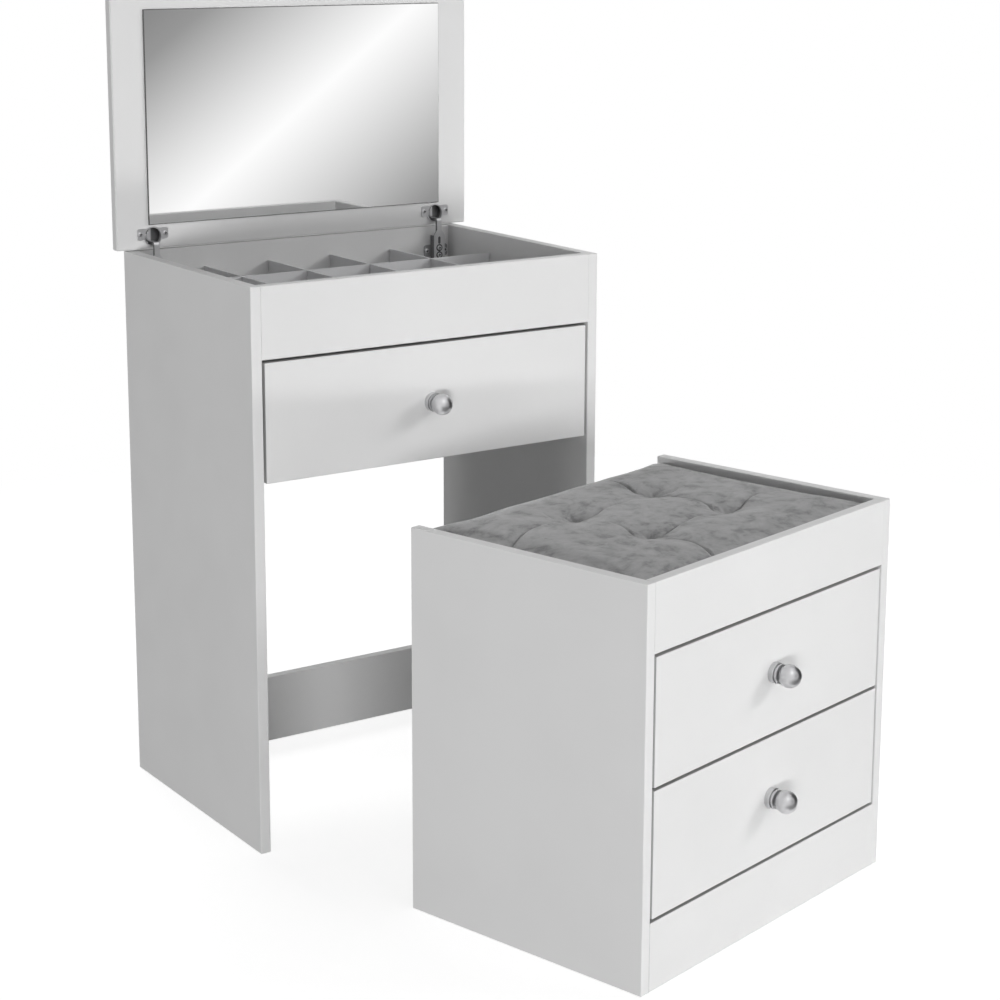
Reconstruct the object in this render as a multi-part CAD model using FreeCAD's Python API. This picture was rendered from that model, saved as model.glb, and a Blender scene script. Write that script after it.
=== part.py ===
import FreeCAD, Part
import math
import os

# A dressing table with a lift-up mirror lid, and the drawer stool that tucks into its kneehole.
# Millimetres. The table is drawn about the middle of its own footprint, with +Z up, the front
# towards -Y and the floor at z = 0. The stool is drawn about the middle of its own footprint
# in the same way, and then set where it stands. At the end everything moves together, so that
# the origin is on the floor under the middle of the whole set.

# Boards and gaps
BOARD = 15.0               # thickness of every melamine board
EDGE_EASE = 0.7            # taken off the exposed board edges
FRONT_GAP = 4.0            # gap round a drawer front

# Table
TABLE_W = 545.0
TABLE_D = 378.0
TABLE_H = 765.0
RAIL_H = 96.0              # front rail that closes the tray
TABLE_FRONT_H = 159.0      # table drawer front
FOOT_RAIL_H = 100.0        # low rail at the back
FOOT_RAIL_LIFT = 2.0       # its clearance over the floor

# Tray with its egg-crate of thin dividers
DIVIDER_T = 3.0
DIVIDER_H = 52.0
COLUMNS = 5
BACK_ROW = 112.5           # depth of the cells behind the long divider
SLOT_PLAY = 0.2            # play of a half-lap slot, and of a divider's end

# Lid and mirror. The lid stands open, upright over the back panel.
LID_SIDE_OVERHANG = 16.0
LID_FRONT_OVERHANG = 16.0
LID_EASE = 1.5
LID_GAP = 2.0              # open: from the back panel's top edge up to the lid
LID_SETBACK = 1.5          # open: lid's inner face behind the back panel's inner face
REST_GAP = 3.5             # closed: from the table's top edges up to the lid, kept by the bumpers
MIRROR_W = 480.0
MIRROR_H = 298.0
MIRROR_T = 3.0
MIRROR_BEVEL = 0.8
MIRROR_FROM_EDGE = 34.0    # from the lid's hinged edge
BUMPER_R = 5.0
BUMPER_FROM_FRONT = 26.0   # from the lid's free edge
BUMPER_PLAY = 0.1

# Concealed cup hinges
HINGE_INSET = 23.5         # hinge's middle from the inner face of the side board
CUP_R = 13.0
CUP_WALL = 0.7
CUP_DEPTH = 11.5
CUP_FROM_EDGE = 17.3       # cup's middle from the lid's hinged edge
FLANGE_T = 1.2
FLANGE_RIM = 1.0           # flange round the cup's mouth
EAR_W = 47.0
EAR_H = 16.0
EAR_RISE = 3.7             # ears' middle beyond the cup's middle
EAR_ROUND = 3.0
CUP_SCREW_SPREAD = 38.0
CUP_SCREW_R = 1.75
CUP_SCREW_HEAD_R = 3.2
CUP_SCREW_HEAD_T = 1.6
CUP_SCREW_L = 10.0
PIN_R = 0.9
PIN_PLAY = 0.3
PIN_FROM_EDGE = 8.2        # pivot from the lid's hinged edge
PIN_END_PLAY = 0.05        # from the pin's end to the outside of the cup's wall
EYE_WALL = 1.0
NECK_W = 8.0
NECK_STAND = 12.0          # neck's front from the back panel's inner face
NECK_BEND = 4.0
ARM_W = 19.0
ARM_SHEET = 2.0
ARM_L = 40.0
SHOULDER_H = 8.0
SADDLE_PLAY = 0.1
SADDLE_L = 31.0
PLATE_T = 2.0
PLATE_W = 41.0
PLATE_H = 18.0
PLATE_ROUND = 4.0
PLATE_FROM_TOP = 37.0      # plate's screw line below the back panel's top edge
PLATE_SCREW_SPREAD = 32.0
PLATE_SCREW_R = 2.0
PLATE_SCREW_HEAD_R = 3.5
PLATE_SCREW_HEAD_T = 1.8
PLATE_SCREW_L = 11.0       # length inside the back panel
CLAMP_HEAD_R = 3.2
CLAMP_HEAD_T = 1.6
CLAMP_L = 8.0
CLAMP_RISE = 5.0           # clamp screw above the plate's screw line

# Drawers
BOX_SIDE_T = 12.0
BOX_LIFT = 14.0            # box's lower edge above the front's lower edge
BOX_DROP = 24.5            # box's upper edge below the front's upper edge
BOX_GAP = 4.0              # from the box to the carcass side
BOX_BACK_GAP = 18.0        # from the box's back end to the back panel
BOTTOM_T = 3.0
BOTTOM_LIFT = 10.0         # bottom's groove above the box's lower edge
GROOVE_D = 6.0             # depth of the bottom's groove
GROOVE_PLAY = 0.2
RUNNER_W = 10.0            # runner strip, measured out from the carcass side
RUNNER_H = 14.0
RUNNER_RISE = 78.0         # runner's middle above the front's lower edge
RUNNER_SETBACK = 22.0      # runner's front end behind the drawer front
RUNNER_SHORT = 8.0         # runner's back end before the box's back end
RUNNER_PLAY = 0.3          # above and below the runner
RUNNER_SIDE_PLAY = 1.0
RUNNER_EASE = 1.0
RUNNER_SCREW_INSET = 30.0  # from each end of the runner
RUNNER_SCREW_R = 2.0
RUNNER_SCREW_HEAD_R = 4.0
RUNNER_SCREW_BITE = 11.0   # length inside the carcass side
CORNER_SCREW_R = 2.5
CORNER_SCREW_L = 38.0
CORNER_SCREW_HEAD_R = 4.0
CORNER_SCREW_HEAD_T = 3.0
CORNER_SCREW_INSET = 28.0  # from the top and from the bottom of the drawer back
DOWEL_R = 4.0
DOWEL_L = 28.0
DOWEL_BITE = 10.0          # length inside the drawer front
DOWEL_INSET = 25.0         # from the top and from the bottom of the drawer side

# Ball knobs
KNOB_BASE_R = 13.0
KNOB_BASE_T = 7.0
KNOB_BASE_ROUND = 0.8
KNOB_GROOVE_R = 10.4
KNOB_GROOVE_W = 1.6
KNOB_COLLAR_R = 12.0
KNOB_COLLAR_T = 2.6
KNOB_BALL_R = 14.2
KNOB_REACH = 37.7          # from the drawer front to the ball's tip
KNOB_SCREW_R = 2.0
KNOB_SCREW_BITE = 12.0     # length inside the knob
KNOB_SCREW_HEAD_R = 4.2
KNOB_SCREW_HEAD_T = 2.4

# Stool
STOOL_SIDE_PLAY = 2.5      # on each side inside the kneehole
STOOL_H = 497.0
PLINTH_H = 86.0
STOOL_RAIL_H = 85.0        # front rail that holds the cushion in
SEAT_DROP = 51.0           # from the stool's top edge down to the seat board's top
STOOL_X = 101.8            # where the stool stands, from the middle of the table
STOOL_Y = -550.9
STOOL_TURN = 14.94         # degrees, seen from above

# Tufted seat cushion
CUSHION_PLAY = 0.5
CUSHION_EDGE_H = 40.0      # height of its seam line
CUSHION_CROWN = 13.0       # rise of the middle above the seam
CUSHION_ROUND = 16.0       # corner rounding
CUSHION_DRAW = 3.0         # sides drawn in between the corners
CUSHION_ROLL = 7.0         # rolled edge at the bottom and at the seam
CROWN_INSET = 75.0         # from the side to where the crown levels off
TUFT_R = 46.0
TUFT_DEPTH = 15.0
TUFT_PINCH_R = 3.0
TUFT_BELLY = 0.33          # how far the funnel's middle stays below the crown, of its depth

# Cam fittings that hold the boards
CAM_R = 7.5
CAM_DEPTH = 12.0
CAM_SETBACK = 24.0         # cam's middle from the board's end
CAM_MOUTH_PLAY = 0.2       # round the bolt, in the cam's open mouth
BOLT_R = 3.0
BOLT_BITE = 10.0           # length inside the carcass side
CAM_INSET = 33.0           # from a wide board's edge
BACK_CAM_DROP = 92.0       # upper back panel cams below the top edge, clear of the hinge plates

# Places that follow from the sizes above
INNER_W = TABLE_W - 2 * BOARD
FRONT_Y = -TABLE_D / 2
BACK_Y = TABLE_D / 2
BACK_INNER_Y = BACK_Y - BOARD
RAIL_INNER_Y = FRONT_Y + BOARD
RAIL_Z = TABLE_H - RAIL_H
TRAY_Z = RAIL_Z + BOARD
TABLE_FRONT_Z = RAIL_Z - FRONT_GAP - TABLE_FRONT_H
TABLE_BOX_L = TABLE_D - 2 * BOARD - BOX_BACK_GAP
HINGE_X = INNER_W / 2 - HINGE_INSET
LID_W = TABLE_W + 2 * LID_SIDE_OVERHANG
LID_Y = BACK_INNER_Y + LID_SETBACK
LID_Z = TABLE_H + LID_GAP
PIN_DEPTH = LID_GAP + PIN_FROM_EDGE - REST_GAP
PIN_Y = LID_Y + PIN_DEPTH
PIN_Z = LID_Z + PIN_FROM_EDGE
PIN_HALF = math.sqrt(CUP_R ** 2 - (CUP_FROM_EDGE - PIN_FROM_EDGE + PIN_R) ** 2) - PIN_END_PLAY
LID_L = PIN_Y + PIN_FROM_EDGE - FRONT_Y + LID_FRONT_OVERHANG
STOOL_W = INNER_W - 2 * STOOL_SIDE_PLAY
STOOL_D = TABLE_D - BOARD
STOOL_INNER_W = STOOL_W - 2 * BOARD
STOOL_FRONT_Y = -STOOL_D / 2
STOOL_BOX_L = STOOL_D - 2 * BOARD - BOX_BACK_GAP
SEAT_Z = STOOL_H - SEAT_DROP
STOOL_RAIL_Z = STOOL_H - STOOL_RAIL_H
STOOL_FRONT_H = (STOOL_RAIL_Z - PLINTH_H - 3 * FRONT_GAP) / 2
LOWER_Z = PLINTH_H + FRONT_GAP
UPPER_Z = LOWER_Z + STOOL_FRONT_H + FRONT_GAP

V = FreeCAD.Vector
X = V(1, 0, 0)
Y = V(0, 1, 0)
Z = V(0, 0, 1)
SIDES = (("left", -1), ("right", 1))


def block(x0, x1, y0, y1, z0, z1):
    """Box between two corners."""
    return Part.makeBox(x1 - x0, y1 - y0, z1 - z0, V(x0, y0, z0))


def rod(radius, start, end):
    """Round bar from one point to another."""
    run = end - start
    return Part.makeCylinder(radius, run.Length, start, run)


def edges_along(shape, axes):
    """Straight edges that run along one of the given axes."""
    picked = []
    for edge in shape.Edges:
        along = edge.tangentAt(edge.FirstParameter)
        if any(abs(along.dot(axis)) > 0.99 for axis in axes):
            picked.append(edge)
    return picked


def eased(board, axes, leg):
    """Board with the sharp edges along the given axes taken off."""
    return board.makeChamfer(leg, edges_along(board, axes))


def rounded(sheet, radius):
    """Plate lying across Y, with its four corners rounded."""
    return sheet.makeFillet(radius, edges_along(sheet, (Y,)))


def prism(points, run):
    """Closed outline of straight lines, pushed along a vector."""
    outline = Part.makePolygon(points + [points[0]])
    return Part.Face(outline).extrude(run)


def side_board(width, depth, height, sign):
    """Upright side board of a carcass, standing on the floor."""
    outer = sign * width / 2
    inner = outer - sign * BOARD
    board = block(min(outer, inner), max(outer, inner), -depth / 2, depth / 2, 0, height)
    return eased(board, (X, Y, Z), EDGE_EASE)


def cross_board(width, y0, y1, z0, z1, exposed):
    """Board that spans between the side boards."""
    board = block(-width / 2, width / 2, y0, y1, z0, z1)
    if exposed:
        board = eased(board, (X,), EDGE_EASE)
    return board


def cam_joint(carcass, name, width, sign, y, z, face):
    """One cam and bolt between a cross board's end and the side board it meets.

    The point (y, z) is the middle of the board's thickness, and face points out of the
    board face that the cam is let into. The three boards and fittings are cut to suit.
    """
    side = "left_side" if sign < 0 else "right_side"
    end = V(sign * width / 2, y, z)
    middle = end - X * (sign * CAM_SETBACK)
    cam = rod(CAM_R, middle + face * (BOARD / 2), middle + face * (BOARD / 2 - CAM_DEPTH))
    bolt = rod(BOLT_R, middle, end + X * (sign * BOLT_BITE))
    half = BOLT_R + CAM_MOUTH_PLAY
    x0, x1 = sorted((middle.x, middle.x + sign * CAM_R))
    mouth = block(x0, x1, y - half, y + half, z - half, z + half)
    carcass[name] = carcass[name].cut(cam).cut(bolt)
    carcass[side] = carcass[side].cut(bolt)
    carcass["cam_locks"].append(cam.cut(mouth))
    carcass["cam_bolts"].append(bolt)


def cam_joints(carcass, name, width, spots, face):
    """Cam joints at both ends of one cross board."""
    for _, sign in SIDES:
        for y, z in spots:
            cam_joint(carcass, name, width, sign, y, z, face)


def knob():
    """Turned ball knob on a drawer front: base, groove, collar and ball, out along -Y."""
    collar_start = KNOB_BASE_T + KNOB_GROOVE_W
    collar_end = collar_start + KNOB_COLLAR_T
    ball_y = KNOB_REACH - KNOB_BALL_R
    neck_r = math.sqrt(KNOB_BALL_R ** 2 - (ball_y - collar_end) ** 2)
    corner = KNOB_BASE_ROUND * (1 - math.sqrt(0.5))

    def at(radius, reach):
        return V(radius, -reach, 0)

    turned = [
        Part.makePolygon([at(0, 0), at(KNOB_BASE_R, 0), at(KNOB_BASE_R, KNOB_BASE_T - KNOB_BASE_ROUND)]),
        Part.Arc(at(KNOB_BASE_R, KNOB_BASE_T - KNOB_BASE_ROUND),
                 at(KNOB_BASE_R - corner, KNOB_BASE_T - corner),
                 at(KNOB_BASE_R - KNOB_BASE_ROUND, KNOB_BASE_T)).toShape(),
        Part.makePolygon([at(KNOB_BASE_R - KNOB_BASE_ROUND, KNOB_BASE_T), at(KNOB_GROOVE_R, KNOB_BASE_T),
                          at(KNOB_GROOVE_R, collar_start), at(KNOB_COLLAR_R, collar_start),
                          at(KNOB_COLLAR_R, collar_end), at(neck_r, collar_end)]),
        Part.Arc(at(neck_r, collar_end), at(KNOB_BALL_R, ball_y), at(0, KNOB_REACH)).toShape(),
        Part.makeLine(at(0, KNOB_REACH), at(0, 0)),
    ]
    edges = [edge for piece in turned for edge in piece.Edges]
    outline = Part.Wire(Part.__sortEdges__(edges))
    solid = Part.Face(outline).revolve(V(0, 0, 0), Y, 360)
    return solid.cut(rod(KNOB_SCREW_R, V(0, 0, 0), V(0, -KNOB_SCREW_BITE, 0)))


def drawer(opening_w, front_h, box_l):
    """Inset drawer: front face at y = 0, front's lower edge at z = 0, box towards +Y.

    Returns the pieces by name. The bottom slides in grooves, the front is dowelled to the
    sides, and the sides are screwed to the back.
    """
    front_w = opening_w - 2 * FRONT_GAP
    outer_x = opening_w / 2 - BOX_GAP
    inner_x = outer_x - BOX_SIDE_T
    back_end = BOARD + box_l
    top = front_h - BOX_DROP
    bottom_z = BOX_LIFT + BOTTOM_LIFT
    bottom_top = bottom_z + BOTTOM_T
    reach = GROOVE_D - GROOVE_PLAY

    groove = block(-inner_x - GROOVE_D, inner_x + GROOVE_D, BOARD - GROOVE_D, back_end,
                   bottom_z - GROOVE_PLAY, bottom_top + GROOVE_PLAY)
    bottom = block(-inner_x - reach, inner_x + reach, BOARD - reach, back_end, bottom_z, bottom_top)

    front = eased(block(-front_w / 2, front_w / 2, 0, BOARD, 0, front_h), (X, Y, Z), EDGE_EASE)
    front = front.cut(groove)
    back = block(-inner_x, inner_x, back_end - BOX_SIDE_T, back_end, bottom_top + GROOVE_PLAY, top)

    knob_at = V(0, 0, front_h / 2)
    turned_knob = knob()
    turned_knob.translate(knob_at)
    knob_screw = rod(KNOB_SCREW_R, knob_at + Y * BOARD, knob_at - Y * KNOB_SCREW_BITE)
    knob_head = rod(KNOB_SCREW_HEAD_R, knob_at + Y * BOARD, knob_at + Y * (BOARD + KNOB_SCREW_HEAD_T))
    front = front.cut(knob_screw)
    fixings = [knob_screw.fuse(knob_head).removeSplitter()]

    pieces = {}
    for name, sign in SIDES:
        x0, x1 = sorted((sign * inner_x, sign * outer_x))
        side = eased(block(x0, x1, BOARD, back_end, BOX_LIFT, top), (Y,), EDGE_EASE)
        slot_x0, slot_x1 = sorted((sign * outer_x, sign * (opening_w / 2 - RUNNER_W - RUNNER_SIDE_PLAY)))
        runner_slot = block(slot_x0, slot_x1, BOARD + RUNNER_SETBACK - RUNNER_SIDE_PLAY, back_end,
                            RUNNER_RISE - RUNNER_H / 2 - RUNNER_PLAY, RUNNER_RISE + RUNNER_H / 2 + RUNNER_PLAY)
        side = side.cut(groove).cut(runner_slot)

        middle_x = sign * (inner_x + outer_x) / 2
        for z in (BOX_LIFT + DOWEL_INSET, top - DOWEL_INSET):
            dowel_start = V(middle_x, BOARD - DOWEL_BITE, z)
            dowel = rod(DOWEL_R, dowel_start, dowel_start + Y * DOWEL_L)
            front = front.cut(dowel)
            side = side.cut(dowel)
            fixings.append(dowel)

        for z in (bottom_top + CORNER_SCREW_INSET, top - CORNER_SCREW_INSET):
            skin = V(sign * outer_x, back_end - BOX_SIDE_T / 2, z)
            inward = X * -sign
            shank = rod(CORNER_SCREW_R, skin, skin + inward * CORNER_SCREW_L)
            head = rod(CORNER_SCREW_HEAD_R, skin, skin + inward * CORNER_SCREW_HEAD_T)
            screw = shank.fuse(head).removeSplitter()
            side = side.cut(screw)
            back = back.cut(screw)
            fixings.append(screw)
        pieces[name + "_side"] = side

    pieces["front"] = front
    pieces["back"] = back
    pieces["bottom"] = bottom
    pieces["knob"] = turned_knob
    pieces["fixings"] = Part.makeCompound(fixings)
    return pieces


def runner_pair(carcass, opening_w, front_y, front_z, box_l):
    """Runner strips on both side boards of one drawer opening, with their countersunk screws."""
    strips = []
    screws = []
    y0 = front_y + BOARD + RUNNER_SETBACK
    y1 = front_y + BOARD + box_l - RUNNER_SHORT
    z = front_z + RUNNER_RISE
    for name, sign in SIDES:
        x0, x1 = sorted((sign * opening_w / 2, sign * (opening_w / 2 - RUNNER_W)))
        strip = block(x0, x1, y0, y1, z - RUNNER_H / 2, z + RUNNER_H / 2)
        strip = eased(strip, (Y,), RUNNER_EASE)
        outward = X * sign
        for y in (y0 + RUNNER_SCREW_INSET, y1 - RUNNER_SCREW_INSET):
            face = V(sign * (opening_w / 2 - RUNNER_W), y, z)
            sink = RUNNER_SCREW_HEAD_R - RUNNER_SCREW_R
            head = Part.makeCone(RUNNER_SCREW_HEAD_R, RUNNER_SCREW_R, sink, face, outward)
            shank = rod(RUNNER_SCREW_R, face + outward * sink, face + outward * (RUNNER_W + RUNNER_SCREW_BITE))
            screw = head.fuse(shank).removeSplitter()
            strip = strip.cut(screw)
            carcass[name + "_side"] = carcass[name + "_side"].cut(screw)
            screws.append(screw)
        strips.append(strip)
    return strips, screws


def table_carcass():
    """Side boards, rails, back panel and tray floor of the table."""
    carcass = {"cam_locks": [], "cam_bolts": []}
    for name, sign in SIDES:
        carcass[name + "_side"] = side_board(TABLE_W, TABLE_D, TABLE_H, sign)
    carcass["front_rail"] = cross_board(INNER_W, FRONT_Y, RAIL_INNER_Y, RAIL_Z, TABLE_H, True)
    carcass["back_panel"] = cross_board(INNER_W, BACK_INNER_Y, BACK_Y, TABLE_FRONT_Z, TABLE_H, True)
    foot_top = FOOT_RAIL_LIFT + FOOT_RAIL_H
    carcass["foot_rail"] = cross_board(INNER_W, BACK_INNER_Y, BACK_Y, FOOT_RAIL_LIFT, foot_top, True)
    carcass["tray_floor"] = cross_board(INNER_W, RAIL_INNER_Y, BACK_INNER_Y, RAIL_Z, TRAY_Z, False)

    rail_middle = (FRONT_Y + RAIL_INNER_Y) / 2
    back_middle = (BACK_Y + BACK_INNER_Y) / 2
    floor_middle = RAIL_Z + BOARD / 2
    cam_joints(carcass, "front_rail", INNER_W, [(rail_middle, TABLE_H - CAM_INSET)], Y)
    cam_joints(carcass, "back_panel", INNER_W,
               [(back_middle, TABLE_H - BACK_CAM_DROP), (back_middle, TABLE_FRONT_Z + CAM_INSET)], Y)
    cam_joints(carcass, "foot_rail", INNER_W, [(back_middle, foot_top - CAM_INSET)], Y)
    cam_joints(carcass, "tray_floor", INNER_W,
               [(RAIL_INNER_Y + CAM_INSET, floor_middle), (BACK_INNER_Y - CAM_INSET, floor_middle)], -Z)
    return carcass


def tray_dividers():
    """Egg-crate: the long divider is slotted from above, the cross dividers from below."""
    top = TRAY_Z + DIVIDER_H
    half = TRAY_Z + DIVIDER_H / 2
    long_y = BACK_INNER_Y - BACK_ROW - DIVIDER_T / 2
    thick = DIVIDER_T / 2
    slot = thick + SLOT_PLAY
    pitch = INNER_W / COLUMNS
    long_divider = block(-INNER_W / 2 + SLOT_PLAY, INNER_W / 2 - SLOT_PLAY, long_y - thick, long_y + thick,
                         TRAY_Z, top)
    pieces = {}
    for i in range(1, COLUMNS):
        x = -INNER_W / 2 + i * pitch
        cross = block(x - thick, x + thick, RAIL_INNER_Y + SLOT_PLAY, BACK_INNER_Y - SLOT_PLAY, TRAY_Z, top)
        cross = cross.cut(block(x - slot, x + slot, long_y - slot, long_y + slot, TRAY_Z, half))
        long_divider = long_divider.cut(block(x - slot, x + slot, long_y - slot, long_y + slot, half, top))
        pieces["tray_cross_divider_%d" % i] = cross
    pieces["tray_long_divider"] = long_divider
    return pieces


def hinge_cup(x):
    """Cup with its eared flange, let into the lid's inner face."""
    middle = V(x, LID_Y, LID_Z + CUP_FROM_EDGE)
    ear_z = middle.z + EAR_RISE
    ears = block(x - EAR_W / 2, x + EAR_W / 2, LID_Y - FLANGE_T, LID_Y, ear_z - EAR_H / 2, ear_z + EAR_H / 2)
    ears = rounded(ears, EAR_ROUND)
    rim = rod(CUP_R + FLANGE_RIM, middle - Y * FLANGE_T, middle)
    bowl = rod(CUP_R, middle, middle + Y * CUP_DEPTH)
    cavity = rod(CUP_R - CUP_WALL, middle - Y * FLANGE_T, middle + Y * (CUP_DEPTH - CUP_WALL))
    return ears.fuse(rim).fuse(bowl).removeSplitter().cut(cavity), bowl


def hinge_arm(x):
    """Arm of the hinge: a channel over the plate, a shoulder, and a neck cranked back to the pin."""
    front = BACK_INNER_Y - NECK_STAND
    eye_r = PIN_R + PIN_PLAY + EYE_WALL
    neck_back = front + 2 * eye_r
    top = PIN_Z + eye_r
    low = PIN_Z - eye_r
    start_z = TABLE_H - PLATE_FROM_TOP - ARM_L / 2 + SHOULDER_H / 2
    end_z = start_z + ARM_L
    plate_y = BACK_INNER_Y - PLATE_T

    channel = block(x - ARM_W / 2, x + ARM_W / 2, front, plate_y, start_z, end_z)
    hollow = block(x - ARM_W / 2 + ARM_SHEET, x + ARM_W / 2 - ARM_SHEET, front + ARM_SHEET, plate_y, start_z, end_z)
    shoulder = prism([V(x - ARM_W / 2, front, end_z), V(x + ARM_W / 2, front, end_z),
                      V(x + NECK_W / 2, front, end_z + SHOULDER_H), V(x - NECK_W / 2, front, end_z + SHOULDER_H)],
                     Y * ARM_SHEET)

    left = x - NECK_W / 2
    bend = NECK_BEND * (1 - math.sqrt(0.5))
    neck_edges = [
        Part.makeLine(V(left, neck_back, end_z), V(left, front, end_z)),
        Part.makeLine(V(left, front, end_z), V(left, front, top - NECK_BEND)),
        Part.Arc(V(left, front, top - NECK_BEND), V(left, front + bend, top - bend),
                 V(left, front + NECK_BEND, top)).toShape(),
        Part.makeLine(V(left, front + NECK_BEND, top), V(left, PIN_Y, top)),
        Part.Arc(V(left, PIN_Y, top), V(left, PIN_Y + eye_r, PIN_Z), V(left, PIN_Y, low)).toShape(),
        Part.makeLine(V(left, PIN_Y, low), V(left, neck_back, low)),
        Part.makeLine(V(left, neck_back, low), V(left, neck_back, end_z)),
    ]
    neck = Part.Face(Part.Wire(neck_edges)).extrude(X * NECK_W)
    bore = rod(PIN_R + PIN_PLAY, V(x - NECK_W, PIN_Y, PIN_Z), V(x + NECK_W, PIN_Y, PIN_Z))
    return channel.cut(hollow).fuse(shoulder).fuse(neck).removeSplitter().cut(bore)


def hinge_plate(x):
    """Winged mounting plate on the back panel, with the saddle that the arm sits on."""
    z = TABLE_H - PLATE_FROM_TOP
    saddle_half = ARM_W / 2 - ARM_SHEET - SADDLE_PLAY
    plate_y = BACK_INNER_Y - PLATE_T
    web_y = BACK_INNER_Y - NECK_STAND + ARM_SHEET
    wings = block(x - PLATE_W / 2, x + PLATE_W / 2, plate_y, BACK_INNER_Y, z - PLATE_H / 2, z + PLATE_H / 2)
    wings = rounded(wings, PLATE_ROUND)
    saddle = block(x - saddle_half, x + saddle_half, web_y, plate_y, z - SADDLE_L / 2, z + SADDLE_L / 2)
    return wings.fuse(saddle).removeSplitter()


def headed_screw(head_at, run, head_r, head_t, shank_r, shank_l):
    """Screw whose head lies before head_at and whose shank goes on along run."""
    head = rod(head_r, head_at - run * head_t, head_at)
    shank = rod(shank_r, head_at, head_at + run * shank_l)
    return head.fuse(shank).removeSplitter()


def lid_and_hinges(carcass):
    """Lid with its mirror and bumpers, and both hinges from plate to cup."""
    nodes = {}
    lid = block(-LID_W / 2, LID_W / 2, LID_Y, LID_Y + BOARD, LID_Z, LID_Z + LID_L)
    lid = eased(lid, (X, Y, Z), LID_EASE)

    mirror_z = LID_Z + MIRROR_FROM_EDGE
    mirror = block(-MIRROR_W / 2, MIRROR_W / 2, LID_Y - MIRROR_T, LID_Y, mirror_z, mirror_z + MIRROR_H)
    front_edges = [edge for edge in mirror.Edges if edge.BoundBox.YMax < LID_Y - MIRROR_T / 2]
    nodes["lid_mirror"] = mirror.makeChamfer(MIRROR_BEVEL, front_edges)

    bumpers = []
    for _, sign in SIDES:
        seat = V(sign * (TABLE_W - BOARD) / 2, LID_Y, LID_Z + LID_L - LID_FRONT_OVERHANG - BUMPER_FROM_FRONT)
        bumpers.append(rod(BUMPER_R, seat, seat - Y * (REST_GAP - BUMPER_PLAY)))
    nodes["lid_bumpers"] = Part.makeCompound(bumpers)

    pins = []
    cup_screws = []
    plate_screws = []
    clamp_screws = []
    for name, sign in SIDES:
        x = sign * HINGE_X
        cup, bowl = hinge_cup(x)
        pin = rod(PIN_R, V(x - PIN_HALF, PIN_Y, PIN_Z), V(x + PIN_HALF, PIN_Y, PIN_Z))
        cup = cup.cut(pin)
        lid = lid.cut(bowl)
        pins.append(pin)
        ear_z = LID_Z + CUP_FROM_EDGE + EAR_RISE
        for step in (-1, 1):
            head_at = V(x + step * CUP_SCREW_SPREAD / 2, LID_Y - FLANGE_T, ear_z)
            screw = headed_screw(head_at, Y, CUP_SCREW_HEAD_R, CUP_SCREW_HEAD_T, CUP_SCREW_R, CUP_SCREW_L)
            cup = cup.cut(screw)
            lid = lid.cut(screw)
            cup_screws.append(screw)

        arm = hinge_arm(x)
        plate = hinge_plate(x)
        plate_z = TABLE_H - PLATE_FROM_TOP
        for step in (-1, 1):
            head_at = V(x + step * PLATE_SCREW_SPREAD / 2, BACK_INNER_Y - PLATE_T, plate_z)
            screw = headed_screw(head_at, Y, PLATE_SCREW_HEAD_R, PLATE_SCREW_HEAD_T, PLATE_SCREW_R,
                                 PLATE_T + PLATE_SCREW_L)
            plate = plate.cut(screw)
            carcass["back_panel"] = carcass["back_panel"].cut(screw)
            plate_screws.append(screw)
        clamp_at = V(x, BACK_INNER_Y - NECK_STAND, plate_z + CLAMP_RISE)
        clamp = headed_screw(clamp_at, Y, CLAMP_HEAD_R, CLAMP_HEAD_T, PLATE_SCREW_R, CLAMP_L)
        nodes[name + "_hinge_arm"] = arm.cut(clamp)
        nodes[name + "_hinge_plate"] = plate.cut(clamp)
        nodes[name + "_hinge_cup"] = cup
        clamp_screws.append(clamp)

    nodes["lid_panel"] = lid
    nodes["hinge_pins"] = Part.makeCompound(pins)
    nodes["hinge_cup_screws"] = Part.makeCompound(cup_screws)
    nodes["hinge_plate_screws"] = Part.makeCompound(plate_screws)
    nodes["hinge_clamp_screws"] = Part.makeCompound(clamp_screws)
    return nodes


def stool_carcass():
    """Side boards, top rail, plinth, back panel and seat board of the stool."""
    carcass = {"cam_locks": [], "cam_bolts": []}
    back_y = STOOL_D / 2
    back_inner = back_y - BOARD
    rail_inner = STOOL_FRONT_Y + BOARD
    for name, sign in SIDES:
        carcass[name + "_side"] = side_board(STOOL_W, STOOL_D, STOOL_H, sign)
    carcass["top_rail"] = cross_board(STOOL_INNER_W, STOOL_FRONT_Y, rail_inner, STOOL_RAIL_Z, STOOL_H, True)
    carcass["plinth"] = cross_board(STOOL_INNER_W, STOOL_FRONT_Y, rail_inner, 0, PLINTH_H, True)
    carcass["back_panel"] = cross_board(STOOL_INNER_W, back_inner, back_y, PLINTH_H, SEAT_Z - BOARD, False)
    carcass["seat_board"] = cross_board(STOOL_INNER_W, rail_inner, back_y, SEAT_Z - BOARD, SEAT_Z, False)

    rail_middle = STOOL_FRONT_Y + BOARD / 2
    back_middle = back_y - BOARD / 2
    seat_middle = SEAT_Z - BOARD / 2
    seat_bottom = SEAT_Z - BOARD
    cam_joints(carcass, "top_rail", STOOL_INNER_W, [(rail_middle, STOOL_H - CAM_INSET)], Y)
    cam_joints(carcass, "plinth", STOOL_INNER_W, [(rail_middle, PLINTH_H - CAM_INSET)], Y)
    cam_joints(carcass, "back_panel", STOOL_INNER_W,
               [(back_middle, PLINTH_H + CAM_INSET), (back_middle, seat_bottom - CAM_INSET)], Y)
    cam_joints(carcass, "seat_board", STOOL_INNER_W,
               [(rail_inner + CAM_INSET, seat_middle), (back_inner - CAM_INSET, seat_middle)], -Z)
    return carcass


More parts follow.
